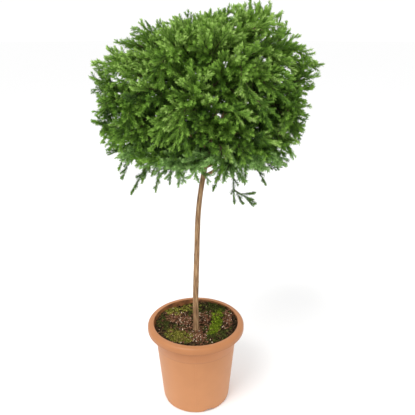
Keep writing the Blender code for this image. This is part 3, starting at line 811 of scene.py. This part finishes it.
def make_moss(rng):
    """Moss in every tone: low cushions, and short leafy shoots that stand out of them."""
    for tone, (low, middle, high, height) in MOSS_TONES.items():
        patches = [patch for patch in MOSS_PATCHES if patch[5] == tone]
        middles = np.concatenate([spots(patch, patch[4], rng) for patch in patches])
        stops = ((0.35, low), (0.50, middle), (0.66, high))
        material = speckled_material("moss_" + tone, stops, 260.0, 0.95, 0.001)
        make_cushions("moss_" + tone, middles, material, rng)
        roots = np.repeat(middles, MOSS_SHOOTS, axis=0)
        roots[:, :2] += rng.normal(0.0, MOSS_SHOOT_SPREAD, (len(roots), 2))
        roots = roots[np.hypot(roots[:, 0], roots[:, 1]) < NECK_RADIUS - MOSS_SHOOT_CLEAR]
        roots[:, 2] = soil_height(roots[:, 0], roots[:, 1]) + MOSS_SHOOT_LIFT
        ways = unit(np.column_stack((rng.normal(0, 0.5, (len(roots), 2)), np.ones(len(roots)))))
        facing = unit(rng.normal(size=(len(roots), 3)))
        lengths = height * rng.uniform(0.6, 1.5, len(roots))
        points, faces = blades(roots, ways, facing, lengths, np.full(len(roots), MOSS_SHOOT_WIDTH))
        add_piece("moss_shoots_" + tone, points, faces, material, smooth=False)


def make_cushions(name, middles, material, rng):
    """Low round cushions, each a dome of four rings."""
    angles = round_angles(CUSHION_SIDES)
    heights = np.array((-0.4, 0.35, 0.8, 1.0))
    widths = np.array((1.05, 0.9, 0.5, 0.02))
    size = rng.uniform(*CUSHION_SIZES, len(middles))[:, None, None, None]
    ring = np.stack((np.cos(angles), np.sin(angles), np.zeros(CUSHION_SIDES)), axis=-1)
    dome = ring[None, None] * widths[None, :, None, None] * size
    dome = dome * (0.8 + 0.4 * rng.random((len(middles), 4, CUSHION_SIDES, 1)))
    lift = heights[None, :, None] * size[..., 0] * CUSHION_HEIGHT
    dome[..., 2] += np.broadcast_to(lift, dome.shape[:3])
    points = dome + middles[:, None, None]
    faces = repeated(grid_faces(4, CUSHION_SIDES), len(middles), 4 * CUSHION_SIDES)
    add_piece(name, points.reshape(-1, 3), faces, material)


# Trunk and boughs

def trunk_point(z):
    """Middle of the trunk at a height: upright, gently waved, then leaning to the right."""
    lean = TRUNK_BEND * max(0.0, z - TRUNK_BEND_HEIGHT) ** 2
    wave = TRUNK_WAVE * math.sin((z - SOIL_LEVEL) * TRUNK_WAVES_ACROSS)
    sway = TRUNK_WAVE * math.sin((z - SOIL_LEVEL) * TRUNK_WAVES_DEEP)
    return Vector((TRUNK_FOOT_X + lean - wave, sway, z))


def trunk_radius(z):
    """Radius of the trunk at a height: a slow taper over a flared foot."""
    share = (z - SOIL_LEVEL) / (TRUNK_TOP - SOIL_LEVEL)
    flare = TRUNK_FLARE * math.exp(-max(0.0, z - SOIL_LEVEL) / TRUNK_FLARE_HEIGHT)
    return TRUNK_FOOT_RADIUS + (TRUNK_TOP_RADIUS - TRUNK_FOOT_RADIUS) * share + flare


def bark_relief(angle, height, rng):
    """Height of the bark: long wavering fibres that run along the limb."""
    relief = np.zeros(np.broadcast(angle, height).shape)
    for fold in (2, 3, 5, 7, 9, 12, 15):
        drift = 1.6 * np.sin(height * rng.uniform(18, 46) + rng.uniform(0, TWO_PI))
        strength = rng.uniform(0.5, 1.0) * (1 + 0.6 * np.sin(height * rng.uniform(30, 90)))
        relief = relief + strength * np.sin(fold * angle + drift + rng.uniform(0, TWO_PI)) / fold ** 0.5
    return relief / 2.2


def make_trunk(material, rng):
    """The trunk with its bark's relief and its knots, rounded off at its top."""
    rise = TRUNK_TOP + TRUNK_SINK - SOIL_LEVEL
    heights = SOIL_LEVEL - TRUNK_SINK + rise * np.linspace(0, 1, TRUNK_RINGS)
    path = np.array([trunk_point(z) for z in heights])
    radii = np.array([trunk_radius(z) for z in heights])
    angles = round_angles(TRUNK_SIDES)[None, :]
    share = (radii / TRUNK_FOOT_RADIUS)[:, None]
    relief = BARK_RELIEF * bark_relief(angles, heights[:, None], rng) * share
    for height, side, size in KNOTS:
        apart = turn_from(angles, side) * TRUNK_FOOT_RADIUS
        along = (heights[:, None] - height) / KNOT_LENGTH
        relief = relief + size * np.exp(-(apart / KNOT_WIDTH) ** 2 - along ** 2)
    radii[-3:] *= (0.85, 0.5, 0.02)
    relief = relief * (radii / radii[0])[:, None] ** 0.1
    points, faces = tubes(path[None], (radii[:, None] + relief)[None], TRUNK_SIDES)
    add_piece("trunk_bark", points, faces, material, ["trunk"])


def make_boughs(masses, material, rng):
    """The boughs, each from inside the trunk to the place where it enters its mass."""
    points, faces, nodes = [], [], []
    shares = np.linspace(0, 1, BOUGH_RINGS)
    angles = round_angles(BOUGH_SIDES)[None]
    for mass in masses:
        if mass.limb:
            start, bend, end = (np.array(point) for point in mass.limb)
            path = bezier(start, bend, end, shares[:, None])
            radii = BOUGH_ROOT_RADIUS + (BOUGH_TIP_RADIUS - BOUGH_ROOT_RADIUS) * shares
            relief = BOUGH_RELIEF * bark_relief(angles, path[:, 2:], rng)
            own_points, own_faces = tubes(path[None], (radii[:, None] + relief)[None], BOUGH_SIDES)
            faces.append(own_faces + sum(len(p) for p in points))
            points.append(own_points)
            nodes.append("bough_" + mass.name)
    points = np.concatenate(points)
    add_piece("bough_bark", points, np.concatenate(faces), material, nodes)


# Plan of the crown

def direction(azimuth, elevation):
    """Unit vector from degrees."""
    a, e = math.radians(azimuth), math.radians(elevation)
    return Vector((math.cos(a) * math.cos(e), math.sin(a) * math.cos(e), math.sin(e)))


def bezier(start, bend, end, t):
    """Point at a share of a curve from its start to its end, or points at an array of shares."""
    return start * (1 - t) ** 2 + bend * (2 * t * (1 - t)) + end * t ** 2


def spread_directions(count, turn, lowest=LOWEST_TIP):
    """Directions spread evenly over a ball from its top, leaving out what is under the lowest."""
    found = []
    for i in range(count):
        z = 1 - (i + 0.5) * 2 / count
        if z < lowest:
            break
        level = math.sqrt(1 - z * z)
        angle = i * GOLDEN_ANGLE + turn
        found.append(Vector((level * math.cos(angle), level * math.sin(angle), z)))
    return found


CLUMPS = spread_directions(CLUMP_COUNT, CLUMP_TURN, -1)


def crown_reach(toward):
    """Distance from the crown's middle to its outline in a direction."""
    level = math.hypot(toward.x, toward.y)
    depth = CROWN_TOP if toward.z > 0 else CROWN_BOTTOM
    n = CROWN_SQUARENESS
    reach = ((level / CROWN_SIDE) ** n + (abs(toward.z) / depth) ** n) ** (-1 / n)
    for azimuth, elevation, extra, width in LOBES:
        apart = toward.angle(direction(azimuth, elevation))
        reach += extra * math.exp(-(apart / math.radians(width)) ** 2)
    return reach


class Mass:
    """One mass of foliage: its region, its axis from the hub and the bough that carries it."""

    def __init__(self, region, name, axis, limb):
        self.region = region
        self.name = name
        self.axis = axis
        self.limb = limb
        self.tips = []
        self.shoots = []


def bough_curve(azimuth, height, out, entry_height):
    """Start, bend and end of a bough's curve."""
    hub = trunk_point(HUB_HEIGHT)
    start = trunk_point(height)
    end = Vector((hub.x, hub.y, entry_height)) + direction(azimuth, 0) * out
    bend = start.lerp(end, 0.5)
    bend.z = start.z + (end.z - start.z) * BOUGH_SAG
    return start, bend, end


def plan_masses():
    """The masses of every ring with their boughs, and the one on the trunk's own tip."""
    masses = []
    for region, count, first, elevation, lowest, highest, out, entry in RINGS:
        order = [(i * 2) % count + (i * 2 // count) * (1 - count % 2) for i in range(count)]
        for i in range(count):
            azimuth = first + i * 360 / count
            height = lowest + (highest - lowest) * order[i] / (count - 1)
            limb = bough_curve(azimuth, height, out, entry)
            masses.append(Mass(region, f"{region}_{i + 1}", direction(azimuth, elevation), limb))
    masses.append(Mass("top", "top", direction(*TOP_AXIS), None))
    return masses


def dent(toward):
    """How far a direction lies between the clumps that the crown swells in, from 0 to 1."""
    nearest = max(toward.dot(middle) for middle in CLUMPS)
    return 1 - math.exp(-((1 - nearest) / CLUMP_WIDTH) ** 2)


def spread_tips(masses, hub, rng):
    """Give each mass the tips that its sprays grow to, as places with their depth in the crown."""
    far = [Vector(tip) for tip in FAR_TIPS]
    tips = [(tip, 1.0) for tip in far]
    for count, depth in TIP_LAYERS:
        for toward in spread_directions(count, depth * 5):
            share = depth * (1 - TIP_JITTER * rng.random() - CLUMP_DENT * dent(toward))
            tip = CROWN_MIDDLE + toward * crown_reach(toward) * share
            clear = all((tip - other).length > FAR_TIP_SPACE for other in far)
            lowest = UNDERSIDE_HEIGHT + UNDERSIDE_SLOPE * tip.y + UNDERSIDE_LEFT * max(0.0, -tip.x)
            under = tip.z < lowest and rng.random() > UNDERSIDE_SHARE
            if (depth < 1.0 or clear) and not under:
                tips.append((tip, depth))
    for elevation, depth in FILL_ROWS:
        for azimuth in FILL_AZIMUTHS:
            toward = direction(azimuth, elevation)
            tips.append((CROWN_MIDDLE + toward * crown_reach(toward) * depth, depth))
    for tip, depth in tips:
        owner = max(masses, key=lambda mass: (tip - hub).normalized().dot(mass.axis))
        owner.tips.append((tip, depth))


# Shoots

class Shoot:
    """A curved shoot: where it starts, bends and ends, and the share of it that is bare.

    A strand is a long hanging shoot with short side shoots and open, comb-like needles.
    """

    def __init__(self, start, bend, end, bare, radius, tone, strand):
        self.start = start
        self.bend = bend
        self.end = end
        self.bare = bare
        self.radius = radius
        self.tone = tone
        self.strand = strand
        chord = (end - start).length
        self.length = ((bend - start).length + (end - bend).length + chord) / 2

    def at(self, t):
        return bezier(self.start, self.bend, self.end, t)

    def heading(self, t):
        return ((self.bend - self.start) * (1 - t) + (self.end - self.bend) * t).normalized()


def best_root(tip, shoots):
    """Place on the mass's leading shoots from which a new one reaches a tip most naturally."""
    best = None
    for shoot in [shoots[0]] + [shoot for shoot in shoots[1:] if not shoot.strand]:
        last = shoot.bare + ROOT_SHARE * (1 - shoot.bare)
        for i in range(2, ROOT_STEPS + 1):
            t = last * i / ROOT_STEPS
            point, along = shoot.at(t), shoot.heading(t)
            way = tip - point
            bend = max(0.0, along.angle(way) - BRANCH_ANGLE)
            short = max(0.0, SHORTEST_SHOOT - way.length)
            cost = way.length * (1 + BEND_COST * bend) + SHORT_COST * short
            if best is None or cost < best[0]:
                best = (cost, point, (along * ROOT_TURN + way.normalized()).normalized())
    return best[1:]


def fork_root(tip, shoots):
    """Place where the forked strand's second arm leaves its first, near the first arm's end."""
    arm = min(shoots, key=lambda shoot: (shoot.end - Vector(FORK_TIPS[0])).length)
    root = arm.at(FORK_SHARE)
    along = arm.heading(FORK_SHARE) * FORK_TURN + (tip - root).normalized()
    return root, along.normalized()


def leading_shoot(start, heading, tip, radius, depth, rng):
    """Shoot from a root to a tip, bare up to its spray."""
    span = (tip - start).length
    spread = STRAND_HEIGHT_RANGE
    hangs = depth > OUTER_DEPTH and tip.z < STRAND_HEIGHT + rng.uniform(-spread, spread)
    strand = hangs and tip != Vector(FORK_TIPS[1])
    bend = start + heading.normalized() * span * BEND_SHARE
    if strand:
        bend = start.lerp(tip, STRAND_REACH) + Vector((0, 0, STRAND_ARCH * span))
    length = ((bend - start).length + (tip - bend).length + span) / 2
    bare = max(LEAST_BARE, 1 - SPRAY_LENGTH / length)
    tone = spray_tone(tip, depth, rng)
    return Shoot(start, bend, tip, bare, radius, tone, strand)


def spray_tone(tip, depth, rng):
    """Tone of a spray's needles, painted light and shade: lighter high up and outside, darker inside,
    bluer low in front.
    """
    shift = rng.uniform(-LOW_FRONT_RANGE, LOW_FRONT_RANGE)
    rise = TONE_RISE * (max(tip.z, STRAND_HEIGHT) - TONE_LEVEL) / TONE_SPAN
    light = TONE_MIDDLE + rise - TONE_INSIDE * (1 - depth) + rng.gauss(0.0, TONE_SPREAD)
    low = tip.z + shift / 2 < LOW_FRONT_HEIGHT
    front = tip.y + shift < LOW_FRONT_PLACE
    if low and front and depth > OUTER_DEPTH:
        return len(SPRAY_TONES) - 1
    return int(max(0, min(len(SPRAY_TONES) - 2, round(light))))


def grow_leaders(mass, hub, rng):
    """Grow the stem to the tip nearest the mass's axis, then a leading shoot to every other tip."""
    if mass.limb:
        bend, end = mass.limb[1:]
        heading = end - bend
        start = end - heading.normalized() * BOUGH_OVERLAP
    else:
        start = trunk_point(TRUNK_TOP - TOP_OVERLAP)
        heading = trunk_point(TRUNK_TOP) - trunk_point(TRUNK_TOP - 2 * TOP_OVERLAP)
    main = max(mass.tips, key=lambda entry: (entry[0] - hub).normalized().dot(mass.axis))
    mass.shoots = [leading_shoot(start, heading, main[0], STEM_ROOT_RADIUS, main[1], rng)]
    for tip, depth in sorted(mass.tips, key=lambda entry: entry[1]):
        if tip is not main[0]:
            root, along = best_root(tip, mass.shoots)
            if tip == Vector(FORK_TIPS[1]):
                root, along = fork_root(tip, mass.shoots)
            mass.shoots.append(leading_shoot(root, along, tip, TWIG_RADIUS, depth, rng))


def side_profile(s):
    """Length of side shoots along a spray, as a share: longest near the base, short at the tip."""
    return min(1.0, 0.62 + 2.2 * s) * (1 - 0.66 * s ** 1.6)


def side_shoots(leader, rng):
    """Side shoots to both sides of a spray, with twiglets on the longer ones."""
    spray = leader.length * (1 - leader.bare)
    longest = SIDE_LENGTH * (STRAND_SIDES if leader.strand else 1.0)
    fullness = min(1.0, spray / SPRAY_LENGTH)
    if leader.end == Vector(FORK_TIPS[1]):
        fullness = FORK_FULLNESS
    count = int(spray / (STRAND_SIDE_SPACING if leader.strand else SIDE_SPACING))
    turn = rng.random() * TWO_PI
    found = []
    for i in range(count):
        s = (i + 0.3 + 0.4 * rng.random()) / count
        t = leader.bare + (1 - leader.bare) * s * 0.95
        along = leader.heading(t)
        side = turn + (i % 2) * math.pi + rng.gauss(0.0, SIDE_FAN)
        length = longest * side_profile(s) * fullness * rng.uniform(0.75, 1.15)
        shoot = branch_off(leader, t, along, side, SIDE_ANGLE * rng.uniform(0.8, 1.15), length, 1)
        found.append(shoot)
        if length > TWIGLET_FROM:
            for place, flip in TWIGLET_PLACES:
                small = TWIGLET_LENGTH * rng.uniform(0.7, 1.2)
                roll = side + flip + rng.gauss(math.pi / 2, 0.5)
                found.append(branch_off(shoot, place, shoot.heading(place), roll, SIDE_ANGLE, small, 2))
    return found


def branch_off(parent, t, along, side, angle, length, rank):
    """A shoot that leaves its parent at an angle and curves forwards and upwards."""
    across = along.cross(Vector(REFERENCE)).normalized()
    up = along.cross(across)
    outward = across * math.cos(side) + up * math.sin(side)
    start = parent.at(t)
    first = along * math.cos(angle) + outward * math.sin(angle)
    lift = STRAND_DROP if parent.strand else SIDE_LIFT
    last = (first + along * 0.45 + Vector((0, 0, lift))).normalized()
    bend = start + first * length * 0.5
    end = bend + last * length * 0.5
    radius = SHOOT_RADIUS * (1 - 0.2 * rank)
    return Shoot(start, bend, end, 0.0, radius, parent.tone, parent.strand)


def within_reach(shoot):
    """Whether a shoot hangs below the crown, ends within its outline or near a furthest tip."""
    if shoot.start.z < STRAND_HEIGHT:
        return True
    away = shoot.end - CROWN_MIDDLE
    if away.length < crown_reach(away.normalized()) + REACH_MARGIN:
        return True
    return any((shoot.end - Vector(tip)).length < SIDE_LENGTH for tip in FAR_TIPS)


# Needles and twigs as arrays

def blades(roots, ways, facing, lengths, widths):
    """Folded kite-shaped blades of two faces, each from its root along its way."""
    across = unit(np.cross(ways, facing))
    keel = np.cross(across, ways)
    half = (widths / 2)[:, None]
    shoulder = roots + ways * (lengths * NEEDLE_SHOULDER)[:, None] + keel * half * NEEDLE_FOLD
    points = np.stack((roots, shoulder + across * half, shoulder - across * half,
                       roots + ways * lengths[:, None]), axis=1)
    return points.reshape(-1, 3), repeated([(0, 1, 3), (0, 3, 2)], len(roots), 4)


def shoot_arrays(shoots):
    """Starts, bends and ends of shoots as arrays."""
    return [np.array(points) for points in zip(*[(s.start, s.bend, s.end) for s in shoots])]


def shoot_paths(shoots, shares):
    """Points along shoots, at each one's own row of shares."""
    starts, bends, ends = shoot_arrays(shoots)
    return bezier(starts[:, None], bends[:, None], ends[:, None], shares[..., None])


def needle_arrays(shoots, rng):
    """Roots, ways, lengths and tones of all the needles on a list of shoots."""
    starts, bends, ends = shoot_arrays(shoots)
    bare = np.array([s.bare for s in shoots])
    length = np.array([s.length for s in shoots])
    tone = np.array([s.tone for s in shoots])
    strand = np.array([s.strand for s in shoots])
    closeness = np.where(strand, STRAND_NEEDLES, 1.0)
    counts = np.maximum(5, (length * (1 - bare) / NEEDLE_SPACING * closeness).astype(int))
    owner = np.repeat(np.arange(len(shoots)), counts)
    first = np.repeat(np.cumsum(counts) - counts, counts)
    index = np.arange(len(owner)) - first
    share = (index + rng.random(len(owner))) / counts[owner]
    t = (bare[owner] + (1 - bare[owner]) * share)[:, None]
    a, b, c = starts[owner], bends[owner], ends[owner]
    places = bezier(a, b, c, t)
    along = unit((b - a) * (1 - t) + (c - b) * t)
    across, up = square_to(along)
    angle = (index * GOLDEN_ANGLE + owner * 1.7 + rng.normal(0, 0.25, len(owner)))[:, None]
    outward = across * np.cos(angle) + up * np.sin(angle)
    open_tilt = np.where(strand[owner], STRAND_TILT, NEEDLE_TILT)
    tilt = (open_tilt * (1.12 - 0.50 * share ** 3) * (1 + rng.normal(0, 0.13, len(owner))))[:, None]
    ways = unit(along * np.cos(tilt) + outward * np.sin(tilt))
    lengths = NEEDLE_LENGTH * (0.80 + 0.35 * share) * (1 - 0.35 * share ** 4)
    lengths = lengths * rng.uniform(0.8, 1.15, len(owner))
    return places, ways, outward, lengths, 2 * tone[owner] + (share > TIP_SHARE)


def make_needles(region, shoots, nodes, materials, rng):
    """Needles of one region, one piece for each colour."""
    roots, ways, outward, lengths, dealt = needle_arrays(shoots, rng)
    names = [name for pair in SPRAY_TONES for name in pair]
    for colour, material in materials.items():
        chosen = np.isin(dealt, [i for i, name in enumerate(names) if name == colour])
        if chosen.any():
            own = (roots[chosen], ways[chosen], -outward[chosen], lengths[chosen])
            points, faces = blades(*own, np.full(chosen.sum(), NEEDLE_WIDTH))
            name = f"needles_{region}_{colour}"
            add_piece(name, points, faces, material, nodes, smooth=False)


def make_twigs(region, leaders, sides, bark, green, nodes):
    """Brown twigs up to the sprays, and the green shoots that the needles stand on."""
    bare = np.array([s.bare for s in leaders])[:, None]
    radius = np.array([s.radius for s in leaders])[:, None]
    shares = np.linspace(0, 1, 7)[None] * (bare + BROWN_END * (1 - bare))
    points, faces = tubes(shoot_paths(leaders, shares), radius * (1.15 - 0.5 * shares), 5)
    add_piece(f"twigs_{region}", points, faces, bark, nodes)
    low = bare + GREEN_START * (1 - bare)
    shares = low + (0.995 - low) * np.linspace(0, 1, 6)[None]
    taper = np.linspace(1, 0.35, 6)[None] * SHOOT_RADIUS * 1.1
    points, faces = tubes(shoot_paths(leaders, shares), np.repeat(taper, len(leaders), axis=0), 4)
    shares = np.repeat(np.linspace(0, 1, 3)[None], len(sides), axis=0)
    radii = np.array([s.radius for s in sides])[:, None] * np.array((1.0, 0.85, 0.3))
    side_points, side_faces = tubes(shoot_paths(sides, shares), radii, 3)
    faces = np.concatenate((faces, side_faces + len(points)))
    points = np.concatenate((points, side_points))
    add_piece(f"shoots_{region}", points, faces, green, nodes)


def make_crown(bark):
    """Boughs, twigs and needles of every mass, joined region by region."""
    rng = random.Random(CROWN_SEED)
    arrays_rng = np.random.default_rng(CROWN_SEED)
    hub = trunk_point(HUB_HEIGHT)
    masses = plan_masses()
    spread_tips(masses, hub, rng)
    make_boughs(masses, bark, arrays_rng)
    twig_bark = plain_material("twig_bark", (0.085, 0.062, 0.030), 0.8)
    green = plain_material("green_shoots", (0.075, 0.130, 0.028), 0.6)
    materials = {name: plain_material("needles_" + name, colour, 0.55, 0.2)
                 for name, colour in NEEDLE_COLOURS.items()}
    for region in ("lower", "middle", "upper", "top"):
        own = [mass for mass in masses if mass.region == region]
        nodes = ["foliage_" + mass.name for mass in own]
        leaders = []
        for mass in own:
            grow_leaders(mass, hub, rng)
            leaders += mass.shoots
        sides = [side for leader in leaders for side in side_shoots(leader, rng) if within_reach(side)]
        make_twigs(region, leaders, sides, twig_bark, green, nodes)
        make_needles(region, leaders + sides, nodes, materials, arrays_rng)


# Studio

def make_stage():
    """Wide pale floor."""
    mesh = bpy.data.meshes.new("studio_floor")
    angles = round_angles(FLOOR_SIDES)
    rim = [(FLOOR_RADIUS * math.cos(a), FLOOR_RADIUS * math.sin(a), 0.0) for a in angles]
    mesh.from_pydata(rim, [], [list(range(FLOOR_SIDES))])
    mesh.materials.append(plain_material("studio_floor", (0.95, 0.95, 0.95), 0.9, 0.0))
    floor = bpy.data.objects.new("studio_floor", mesh)
    bpy.context.scene.collection.objects.link(floor)


def make_light():
    """Even white light from all round, and one soft lamp above in front."""
    world = bpy.data.worlds.new("studio")
    world.use_nodes = True
    background = world.node_tree.nodes["Background"]
    background.inputs["Color"].default_value = (1.0, 1.0, 1.0, 1.0)
    background.inputs["Strength"].default_value = SKY_STRENGTH
    bpy.context.scene.world = world
    light = bpy.data.lights.new("key", "AREA")
    light.shape = "DISK"
    light.size = KEY_SIZE
    light.energy = KEY_POWER
    lamp = bpy.data.objects.new("key", light)
    lamp.location = KEY_PLACE
    lamp.rotation_euler = (Vector(KEY_TARGET) - Vector(KEY_PLACE)).to_track_quat("-Z", "Y").to_euler()
    bpy.context.scene.collection.objects.link(lamp)
    bpy.context.scene.view_settings.view_transform = "Standard"


def make_camera():
    """Camera at the photograph's place and angle."""
    camera = bpy.data.objects.new("camera", bpy.data.cameras.new("camera"))
    camera.location = CAMERA_PLACE
    camera.rotation_euler = (CAMERA_PITCH, 0.0, 0.0)
    camera.data.lens = CAMERA_LENS
    bpy.context.scene.collection.objects.link(camera)
    bpy.context.scene.camera = camera


def write_sizes():
    """Bring the scene's placements up to date."""
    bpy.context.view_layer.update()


def main():
    """Dress the frame piece by piece, and set up the studio."""
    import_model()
    rng = np.random.default_rng(SEED)
    bark = bark_material()
    make_pot(plastic_material())
    make_soil(speckled_material("soil", SOIL_SHADES, 160.0, 0.95, 0.0015), rng)
    make_crumbs(speckled_material("soil_crumbs", SOIL_SHADES, 260.0, 0.95, 0.001), rng)
    dark = speckled_material("bark_chips", CHIP_SHADES, 210.0, 0.85)
    make_chips("bark_chips", 1.0, 1.0, dark, rng)
    pale = speckled_material("pale_chips", PALE_SHADES, 210.0, 0.85)
    make_chips("pale_chips", PALE_SHARE, PALE_SIZE, pale, rng)
    make_moss(rng)
    make_trunk(bark, rng)
    make_crown(bark)
    make_stage()
    make_light()
    make_camera()
    write_sizes()


main()
